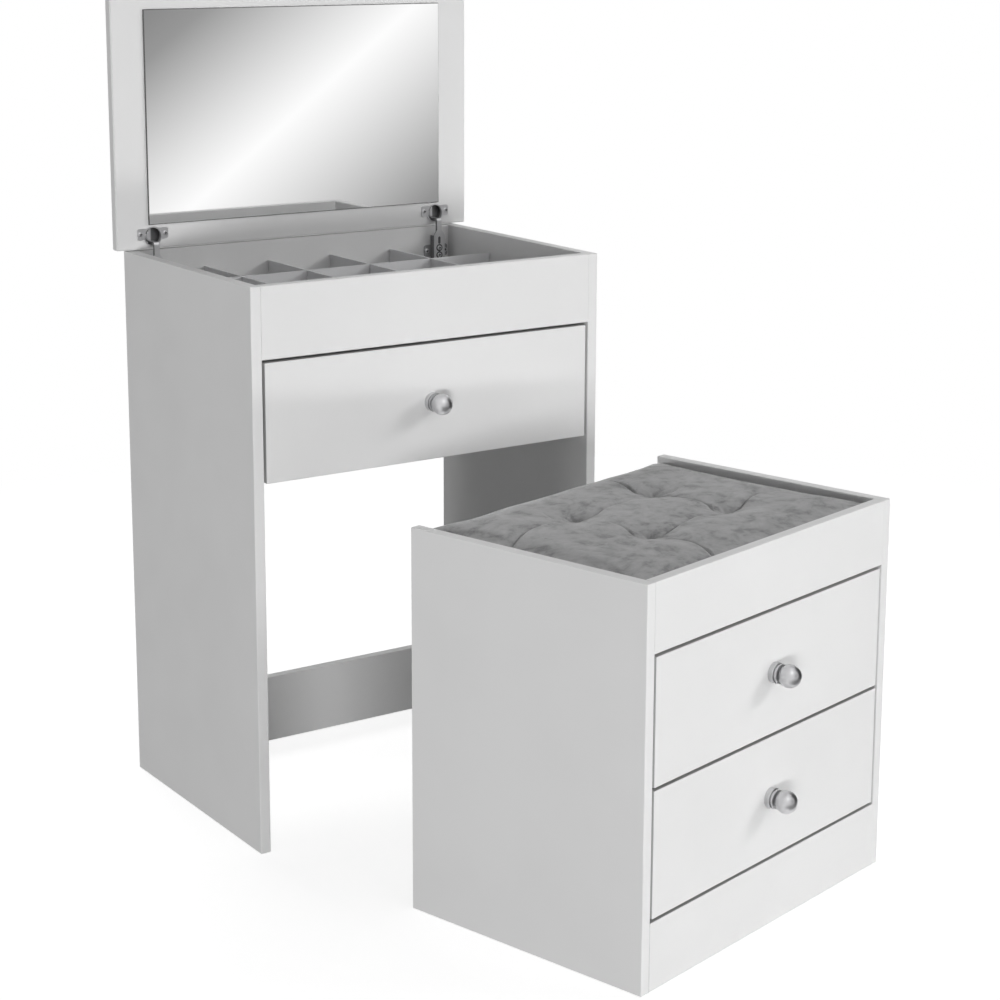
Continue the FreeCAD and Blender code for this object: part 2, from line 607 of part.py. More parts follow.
def cushion_ring(half_w, y0, y1, inset, z):
    """One level outline of the cushion: sides bowed inwards between rounded corners."""
    w = half_w - inset
    front = y0 + inset
    back = y1 - inset
    r = CUSHION_ROUND
    draw = CUSHION_DRAW
    tip = r * (1 - math.sqrt(0.5))
    middle = (front + back) / 2
    corners = []
    for sx, sy in ((1, -1), (1, 1), (-1, 1), (-1, -1)):
        edge_y = front if sy < 0 else back
        along_y = V(sx * w, edge_y - sy * r, z)
        along_x = V(sx * (w - r), edge_y, z)
        bulge = V(sx * (w - tip), edge_y - sy * tip, z)
        corners.append((along_y, bulge, along_x) if sx * sy > 0 else (along_x, bulge, along_y))
    bows = (V(w - draw, middle, z), V(0, back - draw, z), V(-w + draw, middle, z), V(0, front + draw, z))
    edges = []
    for i, (start, bulge, end) in enumerate(corners):
        following = corners[(i + 1) % len(corners)][0]
        edges.append(Part.Arc(start, bulge, end).toShape())
        edges.append(Part.Arc(end, bows[i], following).toShape())
    return Part.Wire(edges)


def cushion():
    """Crowned seat pad with rolled edges, and a funnel where each tuft is sewn down."""
    half_w = STOOL_INNER_W / 2 - CUSHION_PLAY
    front = STOOL_FRONT_Y + BOARD + CUSHION_PLAY
    back = STOOL_D / 2
    seam = SEAT_Z + CUSHION_EDGE_H
    crown = seam + CUSHION_CROWN
    roll = CUSHION_ROLL
    rings = [
        cushion_ring(half_w, front, back, roll / 2, SEAT_Z),
        cushion_ring(half_w, front, back, 0, SEAT_Z + roll),
        cushion_ring(half_w, front, back, 0, seam - roll),
        cushion_ring(half_w, front, back, roll / 2, seam),
        cushion_ring(half_w, front, back, CROWN_INSET / 3, crown - CUSHION_CROWN / 3),
        cushion_ring(half_w, front, back, CROWN_INSET, crown),
    ]
    pad = Part.makeLoft(rings, True, True)

    funnel_edges = [
        Part.makeLine(V(0, 0, CUSHION_CROWN), V(0, 0, -TUFT_DEPTH)),
        Part.makeLine(V(0, 0, -TUFT_DEPTH), V(TUFT_PINCH_R, 0, -TUFT_DEPTH)),
        Part.Arc(V(TUFT_PINCH_R, 0, -TUFT_DEPTH), V(TUFT_R * TUFT_BELLY, 0, -TUFT_DEPTH * TUFT_BELLY),
                 V(TUFT_R, 0, 0)).toShape(),
        Part.makeLine(V(TUFT_R, 0, 0), V(TUFT_R, 0, CUSHION_CROWN)),
        Part.makeLine(V(TUFT_R, 0, CUSHION_CROWN), V(0, 0, CUSHION_CROWN)),
    ]
    funnel = Part.Face(Part.Wire(funnel_edges)).revolve(V(0, 0, 0), Z, 360)
    third_x = half_w * 2 / 3
    third_y = (back - front) / 3
    for i in (1, 2):
        for j in (1, 2):
            cutter = funnel.copy()
            cutter.translate(V(-half_w + i * third_x, front + j * third_y, crown))
            pad = pad.cut(cutter)
    return pad


def table_nodes():
    """Every piece of the table, by node name."""
    nodes = {}
    carcass = table_carcass()
    nodes.update(lid_and_hinges(carcass))
    nodes.update(tray_dividers())
    strips, screws = runner_pair(carcass, INNER_W, FRONT_Y, TABLE_FRONT_Z, TABLE_BOX_L)
    for name in ("left_side", "right_side", "front_rail", "back_panel", "foot_rail", "tray_floor"):
        nodes["table_" + name] = carcass[name]
    nodes["table_cam_locks"] = Part.makeCompound(carcass["cam_locks"])
    nodes["table_cam_bolts"] = Part.makeCompound(carcass["cam_bolts"])
    nodes["table_runners"] = Part.makeCompound(strips)
    nodes["table_runner_screws"] = Part.makeCompound(screws)
    for name, piece in drawer(INNER_W, TABLE_FRONT_H, TABLE_BOX_L).items():
        piece.translate(V(0, FRONT_Y, TABLE_FRONT_Z))
        nodes["table_drawer_" + name] = piece
    return nodes


def stool_nodes():
    """Every piece of the stool, by node name, in the stool's own frame."""
    nodes = {}
    carcass = stool_carcass()
    runners = []
    screws = []
    for level, front_z in (("lower", LOWER_Z), ("upper", UPPER_Z)):
        pair, pair_screws = runner_pair(carcass, STOOL_INNER_W, STOOL_FRONT_Y, front_z, STOOL_BOX_L)
        runners.extend(pair)
        screws.extend(pair_screws)
        for name, piece in drawer(STOOL_INNER_W, STOOL_FRONT_H, STOOL_BOX_L).items():
            piece.translate(V(0, STOOL_FRONT_Y, front_z))
            nodes["stool_%s_drawer_%s" % (level, name)] = piece
    for name in ("left_side", "right_side", "top_rail", "plinth", "back_panel", "seat_board"):
        nodes["stool_" + name] = carcass[name]
    nodes["stool_cam_locks"] = Part.makeCompound(carcass["cam_locks"])
    nodes["stool_cam_bolts"] = Part.makeCompound(carcass["cam_bolts"])
    nodes["stool_runners"] = Part.makeCompound(runners)
    nodes["stool_runner_screws"] = Part.makeCompound(screws)
    nodes["stool_cushion"] = cushion()
    return nodes


def stool_placement():
    """Where the stool stands beside the table."""
    return FreeCAD.Placement(V(STOOL_X, STOOL_Y, 0), FreeCAD.Rotation(Z, STOOL_TURN))


def set_middle():
    """Middle of the whole set's box, on the floor, seen from the middle of the table."""
    place = stool_placement()
    corners = [place.multVec(V(sx * STOOL_W / 2, sy * STOOL_D / 2, 0)) for sx in (-1, 1) for sy in (-1, 1)]
    x0 = min([-LID_W / 2] + [corner.x for corner in corners])
    x1 = max([LID_W / 2] + [corner.x for corner in corners])
    y0 = min([FRONT_Y] + [corner.y for corner in corners])
    y1 = max([BACK_Y, LID_Y + BOARD] + [corner.y for corner in corners])
    return V((x0 + x1) / 2, (y0 + y1) / 2, 0)


def main():
    """Build every node, move the set to its frame and write one STEP file each."""
    os.makedirs("parts", exist_ok=True)
    shift = set_middle() * -1
    place = stool_placement()
    nodes = table_nodes()
    for name, shape in stool_nodes().items():
        nodes[name] = shape.transformed(place.toMatrix())
    for name, shape in nodes.items():
        shape.translate(shift)
        shape.exportStep("parts/%s.step" % name)


main()
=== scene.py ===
import math
import bmesh
import bpy
import numpy as np
from mathutils import Matrix, Vector, noise


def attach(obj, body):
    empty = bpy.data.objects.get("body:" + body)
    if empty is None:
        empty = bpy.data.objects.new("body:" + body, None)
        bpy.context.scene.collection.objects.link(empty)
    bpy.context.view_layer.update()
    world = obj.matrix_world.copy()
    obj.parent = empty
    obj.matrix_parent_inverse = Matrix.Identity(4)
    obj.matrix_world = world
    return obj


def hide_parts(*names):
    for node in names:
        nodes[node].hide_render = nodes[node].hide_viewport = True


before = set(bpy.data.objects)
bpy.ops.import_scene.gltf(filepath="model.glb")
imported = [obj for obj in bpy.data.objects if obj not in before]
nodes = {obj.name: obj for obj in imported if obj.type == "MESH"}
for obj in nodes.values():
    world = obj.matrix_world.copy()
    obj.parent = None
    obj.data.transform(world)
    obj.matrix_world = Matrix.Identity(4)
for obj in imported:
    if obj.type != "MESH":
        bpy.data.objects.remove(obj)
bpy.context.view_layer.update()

# Where the stool stands, in metres and radians
STOOL_AT = Vector((0.048564, -0.250147, 0.0))
STOOL_TURN = math.radians(14.94)
STOOL_AHEAD = (math.sin(STOOL_TURN), -math.cos(STOOL_TURN), 0.0)

# Cushion, in the stool's own frame
SEAT_Z = 0.446             # seat board's top
CUSHION_HALF = 0.2394      # reach to each side
CUSHION_FRONT = -0.1659
CUSHION_BACK = 0.1815
CUSHION_EDGE = 0.047       # height at the walls, over the seat board
CUSHION_CROWN = 0.006      # rise of its middle above that
CUSHION_ROLL = 0.007       # rounding of its upper edge
CUSHION_UPPER = 0.02       # over the seat board: what lies higher takes folds
SLACK_WIDE = 0.988         # shares of its sizes before it is swollen
SLACK_DEEP = 0.984
SLACK_HIGH = 0.93
VOXEL = 0.005              # mesh size of the pad that is swollen
SWELL_STEPS = 20
SWELL_CAP = 0.006          # most that a point moves while it swells
SEWN_R = 0.008             # held round a tuft while it swells
HELD_HIGH = 0.004          # held above the seat board while it swells
FINE_REACH = 0.0085        # nearer than this to a fold the mesh is halved
FINER_REACH = 0.0045       # and nearer than this once more
FILLED = 0.7               # how far the cover follows the filled form
FOLD_DEPTH = 2.3           # scale of the folds' depths below
TUFTS = [(x, y) for x in (-0.0798, 0.0798) for y in (-0.0502, 0.0657)]

# Hinges
HINGES = {"left": -0.287236, "right": 0.180764}
LID_FACE = 0.476253        # lid's inner face, the mirror's side
PANEL_FACE = 0.474753      # back panel's inner face
ARM_FACE = 0.462753        # front of the hinge arms
CUP_Z = 0.7843             # middle of the cups
EAR_SPREAD = 0.019         # cup screws to each side of the middle
EAR_RISE = 0.0037          # and above the cup's middle
EAR_T = 0.0012
PLATE_Z = 0.728            # screw line of the plates
WING_SPREAD = 0.016        # plate screws to each side of the middle
WING_T = 0.002
CLAMP_Z = PLATE_Z + 0.005  # clamp screws
ADJUST_Z = PLATE_Z - 0.006  # adjusting screws
SLOT_Z = 0.7445            # middle of the arms' long slots
SLOT_HALF = 0.0035         # half of the slot's straight run

# Lever stack in a hinge cup, from the cup's middle: left side, width, front, lower and upper end
LEVERS = ((-0.0114, 0.0020, -0.0004, -0.0044, 0.0044),
          (-0.0092, 0.0026, -0.0012, -0.0058, 0.0078),
          (-0.0064, 0.0019, -0.0006, -0.0058, 0.0096))
LEVER_DEEP = 0.0100        # reach of the levers into the cup
LEVER_ROUND = 0.0022

# Finishes
WHITE = (0.78, 0.78, 0.78)
HINGE_TONE = (0.70, 0.70, 0.71)
PLATE_SHARE = 0.6          # tone of the hinge plates, of the other hinge pieces
PAINTED_GAP_SHADE = 0.60          # tone of a drawer front's edges, of its face: painted shade for the shadow in the gaps

# Camera at the photograph's viewing angle
CAMERA_AT = Vector((-1.634462, -2.396459, 1.226509))
CAMERA_TURN = 0.5930       # from +Y towards +X, radians
CAMERA_DOWN = 0.2034
CAMERA_ROLL = 0.0031
CAMERA_LENS = 81.047
CAMERA_SHIFT_Y = -0.12

# Light
AIM = (0.0, 0.0, 0.5)      # what the lamps are aimed at
LOW_AIM = (0.0, 0.0, 0.6)
FLOOR_LIGHT = 0.02         # glow of the lit floor that the set stands on
FLOOR_REACH = 30.0
FLOOR_Z = -0.0005          # just under the feet
AMBIENT = 0.005            # light from all around


# Shader helpers

def new_material(name):
    """Material with an empty Principled shader; returns it with its tree and shader."""
    mat = bpy.data.materials.new(name)
    mat.use_nodes = True
    tree = mat.node_tree
    shader = tree.nodes["Principled BSDF"]
    return mat, tree, shader


def put(tree, kind, **values):
    """Add a node and set its properties and inputs by name."""
    node = tree.nodes.new(kind)
    for key, value in values.items():
        if key in node.inputs:
            node.inputs[key].default_value = value
        else:
            setattr(node, key, value)
    return node


def object_point(tree):
    """Texture space fixed to the piece, in metres."""
    return put(tree, "ShaderNodeTexCoord").outputs["Object"]


def own_normal(tree):
    """Normals in the same space."""
    return put(tree, "ShaderNodeTexCoord").outputs["Normal"]


def axes(tree, vector):
    """X, Y and Z values of a vector."""
    split = put(tree, "ShaderNodeSeparateXYZ")
    tree.links.new(vector, split.inputs[0])
    return split.outputs


def unsigned(tree, value):
    """Value without its sign."""
    node = put(tree, "ShaderNodeMath", operation="ABSOLUTE")
    tree.links.new(value, node.inputs[0])
    return node.outputs[0]


def noise_at(tree, point, scale, detail=2.0, rough=0.5):
    """Noise value, about 0.5 on average."""
    node = put(tree, "ShaderNodeTexNoise", Scale=scale, Detail=detail, Roughness=rough)
    tree.links.new(point, node.inputs["Vector"])
    return node.outputs["Fac"]


def remap(tree, value, low, high, to_low, to_high):
    """Linear map with clamped ends."""
    node = put(tree, "ShaderNodeMapRange")
    node.clamp = True
    node.inputs["From Min"].default_value = low
    node.inputs["From Max"].default_value = high
    node.inputs["To Min"].default_value = to_low
    node.inputs["To Max"].default_value = to_high
    tree.links.new(value, node.inputs["Value"])
    return node.outputs["Result"]


def greys(*stops):
    """Ramp stops of plain grey."""
    return [(at, (tone, tone, tone)) for at, tone in stops]


def ramp(tree, value, stops):
    """Colour ramp through stops, each with its place and colour."""
    node = put(tree, "ShaderNodeValToRGB")
    node.color_ramp.elements[0].position = stops[0][0]
    node.color_ramp.elements[1].position = stops[-1][0]
    for at, _ in stops[1:-1]:
        node.color_ramp.elements.new(at)
    for element, (_, colour) in zip(node.color_ramp.elements, stops):
        element.color = (*colour, 1)
    tree.links.new(value, node.inputs["Fac"])
    return node.outputs["Color"]


def bumped(tree, shader, height, strength, distance):
    """Drive the shader's normal from a height value."""
    node = put(tree, "ShaderNodeBump", Strength=strength, Distance=distance)
    tree.links.new(height, node.inputs["Height"])
    tree.links.new(node.outputs["Normal"], shader.inputs["Normal"])


def blend_sum(tree, a, b, weight):
    """a plus weight times b."""
    node = put(tree, "ShaderNodeMath", operation="MULTIPLY_ADD")
    node.inputs[1].default_value = weight
    tree.links.new(b, node.inputs[0])
    tree.links.new(a, node.inputs[2])
    return node.outputs[0]


# Materials

def melamine(name, tone, roughness, grain):
    """Pale melamine foil: faint cloudiness, fine pearl grain and slight sheen changes."""
    mat, tree, shader = new_material(name)
    point = object_point(tree)
    cloud = noise_at(tree, point, 6.0, 3.0)
    light = [c * 1.012 for c in tone]
    dark = [c * 0.985 for c in tone]
    tree.links.new(ramp(tree, cloud, [(0.35, dark), (0.65, light)]), shader.inputs["Base Color"])
    smear = noise_at(tree, point, 22.0, 4.0)
    gloss = remap(tree, smear, 0.3, 0.7, roughness - 0.05, roughness + 0.05)
    tree.links.new(gloss, shader.inputs["Roughness"])
    pearl = noise_at(tree, point, grain, 2.0, 0.6)
    bumped(tree, shader, pearl, 0.12, 0.0002)
    shader.inputs["Specular IOR Level"].default_value = 0.35
    return mat


def metal(name, tone, roughness, streak):
    """Plated metal with fine brushing and slight blotches in its gloss."""
    mat, tree, shader = new_material(name)
    point = object_point(tree)
    shader.inputs["Metallic"].default_value = 1.0
    blotch = noise_at(tree, point, 60.0, 3.0)
    light = [c * 1.03 for c in tone]
    dark = [c * 0.96 for c in tone]
    tree.links.new(ramp(tree, blotch, [(0.3, dark), (0.7, light)]), shader.inputs["Base Color"])
    fine = noise_at(tree, point, streak, 1.0)
    gloss = remap(tree, fine, 0.3, 0.7, roughness * 0.92, roughness * 1.08)
    tree.links.new(gloss, shader.inputs["Roughness"])
    bumped(tree, shader, fine, 0.02, 0.0001)
    return mat


def white_board(name):
    """The set's white board."""
    return melamine(name, WHITE, 0.48, 900.0)


def hinge_metal(name):
    """The hinges' plated steel."""
    return metal(name, HINGE_TONE, 0.42, 1500.0)


def paint_shade(mat, mask_of, share):
    """Darken a material's colour where the mask is 1, to the given share of it: painted shade."""
    tree = mat.node_tree
    shader = tree.nodes["Principled BSDF"]
    colour = shader.inputs["Base Color"].links[0].from_socket
    mask = mask_of(tree)
    factor = remap(tree, mask, 0.0, 1.0, 1.0, share)
    node = put(tree, "ShaderNodeVectorMath", operation="SCALE")
    tree.links.new(colour, node.inputs[0])
    tree.links.new(factor, node.inputs["Scale"])
    tree.links.new(node.outputs[0], shader.inputs["Base Color"])
    return mat


def offset_from(tree, centre):
    """Place of a point of the piece from a centre, as X, Y and Z values."""
    node = put(tree, "ShaderNodeVectorMath", operation="SUBTRACT")
    node.inputs[1].default_value = centre
    tree.links.new(object_point(tree), node.inputs[0])
    return axes(tree, node.outputs[0])


def both(tree, a, b):
    """Product of two values."""
    node = put(tree, "ShaderNodeMath", operation="MULTIPLY")
    tree.links.new(a, node.inputs[0])
    tree.links.new(b, node.inputs[1])
    return node.outputs[0]


def span(tree, a, b):
    """Length of a flat vector."""
    node = put(tree, "ShaderNodeCombineXYZ")
    tree.links.new(a, node.inputs[0])
    tree.links.new(b, node.inputs[1])
    length = put(tree, "ShaderNodeVectorMath", operation="LENGTH")
    tree.links.new(node.outputs[0], length.inputs[0])
    return length.outputs["Value"]


def on_arm_face(tree, y):
    """1 on the front of a hinge arm and 0 behind it, from the place behind that front."""
    return remap(tree, y, 0.0004, 0.0008, 1.0, 0.0)


def cup_bore_shade(centre):
    """Mask of painted shade in a hinge cup's bore, darkest right of the middle."""
    def mask(tree):
        x, y, z = offset_from(tree, centre)
        near = remap(tree, span(tree, x, z), 0.01235, 0.01255, 1.0, 0.0)
        deep = remap(tree, y, 0.0030, 0.0045, 0.0, 1.0)
        shade_right = remap(tree, x, 0.0015, 0.0030, 0.2, 1.0)
        return both(tree, both(tree, near, deep), shade_right)
    return mask


def slot_shade(centre):
    """Mask of painted shade that draws the long adjusting slot in a hinge arm."""
    def mask(tree):
        x, y, z = offset_from(tree, centre)
        past = put(tree, "ShaderNodeMath", operation="SUBTRACT")
        past.inputs[1].default_value = SLOT_HALF
        past.use_clamp = True
        tree.links.new(unsigned(tree, z), past.inputs[0])
        near = remap(tree, span(tree, x, past.outputs[0]), 0.0020, 0.0023, 1.0, 0.0)
        return both(tree, near, on_arm_face(tree, y))
    return mask


def pocket_shade(centre):
    """Mask of painted shade for the sunk ring round a screw in a hinge arm."""
    def mask(tree):
        x, y, z = offset_from(tree, centre)
        reach = span(tree, x, z)
        past_head = remap(tree, reach, 0.0030, 0.0033, 0.0, 1.0)
        within = remap(tree, reach, 0.0053, 0.0056, 1.0, 0.0)
        return both(tree, both(tree, past_head, within), on_arm_face(tree, y))
    return mask


def left_side_shade(tree):
    """Mask of the walls that face left, for painted shade on the hinge arm's left side."""
    return remap(tree, axes(tree, own_normal(tree))["X"], -0.9, -0.6, 1.0, 0.0)


def gap_shade_edges(ahead):
    """Mask of the edges of a front board that faces a direction, where painted shade stands for the
    shadow in the gaps.
    """
    def mask(tree):
        node = put(tree, "ShaderNodeVectorMath", operation="DOT_PRODUCT")
        node.inputs[1].default_value = ahead
        tree.links.new(own_normal(tree), node.inputs[0])
        return remap(tree, unsigned(tree, node.outputs["Value"]), 0.3, 0.5, 1.0, 0.0)
    return mask


def plastic(name, tone, roughness):
    """Moulded plastic with a fine spark-eroded skin."""
    mat, tree, shader = new_material(name)
    point = object_point(tree)
    skin = noise_at(tree, point, 1500.0, 2.0)
    dark = [c * 0.97 for c in tone]
    tree.links.new(ramp(tree, skin, [(0.3, dark), (0.7, tone)]), shader.inputs["Base Color"])
    gloss = remap(tree, skin, 0.3, 0.7, roughness - 0.04, roughness + 0.04)
    tree.links.new(gloss, shader.inputs["Roughness"])
    bumped(tree, shader, skin, 0.1, 0.0001)
    return mat


def mirror_glass():
    """Silvered glass, with the ground edge darker than the face."""
    mat, tree, shader = new_material("mirror_glass")
    point = object_point(tree)
    shader.inputs["Metallic"].default_value = 1.0
    facing = unsigned(tree, axes(tree, own_normal(tree))["Y"])
    silver = ramp(tree, facing, greys((0.9, 0.12), (0.99, 0.94)))
    tree.links.new(silver, shader.inputs["Base Color"])
    haze = noise_at(tree, point, 9.0, 3.0)
    tree.links.new(remap(tree, haze, 0.3, 0.7, 0.012, 0.03), shader.inputs["Roughness"])
    return mat


def velvet():
    """Crushed velvet: soft blotches where the nap lies another way, fine pile and a sheen."""
    mat, tree, shader = new_material("seat_velvet")
    point = object_point(tree)
    warp = put(tree, "ShaderNodeTexNoise", Scale=14.0, Detail=2.0)
    tree.links.new(point, warp.inputs["Vector"])
    shift = put(tree, "ShaderNodeVectorMath", operation="SCALE", Scale=0.05)
    tree.links.new(warp.outputs["Color"], shift.inputs[0])
    moved = put(tree, "ShaderNodeVectorMath", operation="ADD")
    tree.links.new(point, moved.inputs[0])
    tree.links.new(shift.outputs[0], moved.inputs[1])
    nap = noise_at(tree, moved.outputs[0], 38.0, 6.0, 0.62)
    flecks = noise_at(tree, moved.outputs[0], 120.0, 4.0, 0.6)
    tone = blend_sum(tree, nap, flecks, 0.35)
    stops = [(0.51, (0.245, 0.245, 0.247)), (0.66, (0.378, 0.378, 0.381)), (0.83, (0.445, 0.445, 0.448))]
    tree.links.new(ramp(tree, tone, stops), shader.inputs["Base Color"])
    pile = noise_at(tree, point, 1800.0, 3.0)
    bumped(tree, shader, blend_sum(tree, pile, nap, 0.8), 0.25, 0.0006)
    shader.inputs["Roughness"].default_value = 0.95
    shader.inputs["Specular IOR Level"].default_value = 0.15
    shader.inputs["Sheen Weight"].default_value = 0.35
    shader.inputs["Sheen Roughness"].default_value = 0.45
    return mat


materials = {
    "white_melamine": white_board("white_melamine"),
    # dividers a little darker than the white board: painted shade of the tray's inside
    "divider_board": melamine("divider_board", (0.74, 0.74, 0.75), 0.55, 700.0),
    "bottom_board": melamine("bottom_board", (0.72, 0.72, 0.71), 0.55, 500.0),
    "mirror_glass": mirror_glass(),
    "knob_nickel": metal("knob_nickel", (0.60, 0.60, 0.61), 0.36, 1200.0),
    "hinge_nickel": hinge_metal("hinge_nickel"),
    "fitting_zinc": metal("fitting_zinc", (0.58, 0.58, 0.59), 0.4, 1100.0),
    "runner_plastic": plastic("runner_plastic", (0.78, 0.78, 0.77), 0.5),
    "bumper_rubber": plastic("bumper_rubber", (0.70, 0.70, 0.70), 0.35),
    "seat_velvet": velvet(),
    # near-black material: painted shade in the screws' cross recesses
    "recess": plastic("recess", (0.05, 0.05, 0.052), 0.5),
}


def slot_of(name):
    """Material slot of a CAD node, from its name."""
    if name.endswith("_knob"):
        return "knob_nickel"
    if name.startswith("tray_"):
        return "divider_board"
    if name.endswith("_bottom"):
        return "bottom_board"
    if name == "lid_mirror":
        return "mirror_glass"
    if name == "lid_bumpers":
        return "bumper_rubber"
    if name == "stool_cushion":
        return "seat_velvet"
    if name.endswith("_runners"):
        return "runner_plastic"
    if "hinge" in name:
        return "hinge_nickel"
    if "cam_" in name or "screws" in name or "fixings" in name:
        return "fitting_zinc"
    return "white_melamine"


# Finishes of single pieces: painted shade darkens the fronts' edges for the shadow in their gaps, and
# the hinges' cup bores, arm slots, screw pockets and arms' left sides
special = {}
FRONTS = {"table_drawer_front": (0.0, -1.0, 0.0), "stool_upper_drawer_front": STOOL_AHEAD,
          "stool_lower_drawer_front": STOOL_AHEAD, "stool_plinth": STOOL_AHEAD}
for name, ahead in FRONTS.items():
    # painted shade on each front's edges, for the shadow in the gaps between fronts
    special[name] = paint_shade(white_board(name), gap_shade_edges(ahead), PAINTED_GAP_SHADE)
for side, x in HINGES.items():
    shell = hinge_metal(side + "_cup")
    # painted shade in the cup's bore
    special[side + "_hinge_cup"] = paint_shade(shell, cup_bore_shade((x, LID_FACE, CUP_Z)), 0.25)
    plate_tone = [c * PLATE_SHARE for c in HINGE_TONE]
    special[side + "_hinge_plate"] = metal(side + "_plate", plate_tone, 0.40, 1500.0)
    strip = hinge_metal(side + "_arm")
    # painted shade draws the arm's slot, the rings round its screws and its left side
    paint_shade(strip, slot_shade((x, ARM_FACE, SLOT_Z)), 0.25)
    paint_shade(strip, pocket_shade((x, ARM_FACE, CLAMP_Z)), 0.2)
    paint_shade(strip, pocket_shade((x, ARM_FACE, ADJUST_Z)), 0.2)
    # painted shade on the arm's left side
    special[side + "_hinge_arm"] = paint_shade(strip, left_side_shade, 0.35)

for name, obj in nodes.items():
    obj.data.materials.clear()
    obj.data.materials.append(special.get(name) or materials[slot_of(name)])


# Hinge screws

def pan_head(verts, faces, dark, at, radius, height, shank_r, shank_l):
    """Add a pan-head screw with a cross recess, its head towards -Y and its shank along +Y; the recess
    faces are marked dark for painted shade.
    """
    rings, turns = 14, 48
    first = len(verts)
    recess_y = at[1] - height * 0.35
    verts.append((at[0], recess_y, at[2]))
    for i in range(1, rings + 1):
        r = radius * i / rings
        for j in range(turns):
            angle = 2 * math.pi * j / turns
            u, v = r * math.cos(angle), r * math.sin(angle)
            dome_y = at[1] - height * (1 - 0.30 * (r / radius) ** 2)
            in_cross = min(abs(u), abs(v)) < 0.17 * radius and r < 0.64 * radius
            verts.append((at[0] + u, recess_y if in_cross else dome_y, at[2] + v))
    rows = [(radius, 0.0), (shank_r, 0.0), (shank_r, shank_l)]
    for r, depth in rows:
        for j in range(turns):
            angle = 2 * math.pi * j / turns
            verts.append((at[0] + r * math.cos(angle), at[1] + depth, at[2] + r * math.sin(angle)))
    tip = len(verts)
    verts.append((at[0], at[1] + shank_l + shank_r, at[2]))
    for j in range(turns):
        k = (j + 1) % turns
        faces.append((first, first + 1 + j, first + 1 + k))
        dark.append(True)
        for i in range(rings + len(rows) - 1):
            a, b = first + 1 + i * turns, first + 1 + (i + 1) * turns
            faces.append((a + j, b + j, b + k, a + k))
            sunk = [abs(verts[n][1] - recess_y) < 1e-9 for n in faces[-1]]
            dark.append(i < rings - 1 and sum(sunk) >= 2)
        last = first + 1 + (rings + len(rows) - 1) * turns
        faces.append((last + j, tip, last + k))
        dark.append(False)


def screws(name, node, body, places, radius, height, shank_r, shank_l):
    """Screws of one kind as one piece, which stands for their CAD node where they have one."""
    verts, faces, dark = [], [], []
    for at in places:
        pan_head(verts, faces, dark, at, radius, height, shank_r, shank_l)
    mesh = bpy.data.meshes.new(name)
    mesh.from_pydata(verts, [], faces)
    mesh.materials.append(materials["hinge_nickel"])
    # second material: painted shade in the cross recesses
    mesh.materials.append(materials["recess"])
    mesh.polygons.foreach_set("material_index", [int(d) for d in dark])
    mesh.update()
    piece = bpy.data.objects.new(name, mesh)
    bpy.context.scene.collection.objects.link(piece)
    if node:
        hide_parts(node)
    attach(piece, body)


def hinge_screws():
    """The screws of both hinges: on the cup's ears, on the plate's wings and on the arm."""
    on_cup, on_plate, on_arm, adjusting = [], [], [], []
    for x in HINGES.values():
        for step in (-1, 1):
            on_cup.append((x + step * EAR_SPREAD, LID_FACE - EAR_T, CUP_Z + EAR_RISE))
            on_plate.append((x + step * WING_SPREAD, PANEL_FACE - WING_T, PLATE_Z))
        on_arm.append((x, ARM_FACE, CLAMP_Z))
        adjusting.append((x, ARM_FACE, ADJUST_Z))
    screws("cup_screws", "hinge_cup_screws", "lid", on_cup, 0.0032, 0.0016, 0.00175, 0.0095)
    screws("plate_screws", "hinge_plate_screws", "table", on_plate, 0.0035, 0.0018, 0.0020, 0.0125)
    screws("clamp_screws", "hinge_clamp_screws", "table", on_arm, 0.0034, 0.0016, 0.0020, 0.0075)
    screws("adjusting_screws", None, "table", adjusting, 0.0034, 0.0012, 0.0015, 0.0015)


hinge_screws()


def cup_levers():
    """Lever stack in each hinge cup, beside the neck: three rounded plates side by side."""
    work = bmesh.new()
    r = LEVER_ROUND
    for x in HINGES.values():
        for left, width, front, low, top in LEVERS:
            outline = [(LEVER_DEEP, low), (LEVER_DEEP, top)]
            for z, start in ((top - r, 0.0), (low + r, math.pi / 2)):
                for i in range(7):
                    angle = start + i * math.pi / 12
                    outline.append((front + r - r * math.sin(angle), z + r * math.cos(angle)))
            near = [work.verts.new((x + left, LID_FACE + y, CUP_Z + z)) for y, z in outline]
            far = [work.verts.new((x + left + width, LID_FACE + y, CUP_Z + z)) for y, z in outline]
            work.faces.new(near)
            work.faces.new(far[::-1])
            for i in range(len(outline)):
                j = (i + 1) % len(outline)
                work.faces.new((near[i], far[i], far[j], near[j]))
    bmesh.ops.recalc_face_normals(work, faces=work.faces)
    sharp = [e for e in work.edges if e.calc_face_angle(0) > 1.2]
    bmesh.ops.bevel(work, geom=sharp, offset=0.0003, segments=2, affect="EDGES")
    mesh = bpy.data.meshes.new("cup_levers")
    work.to_mesh(mesh)
    work.free()
    mesh.materials.append(materials["hinge_nickel"])
    piece = bpy.data.objects.new("cup_levers", mesh)
    bpy.context.scene.collection.objects.link(piece)
    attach(piece, "lid")


cup_levers()


# Seat cushion

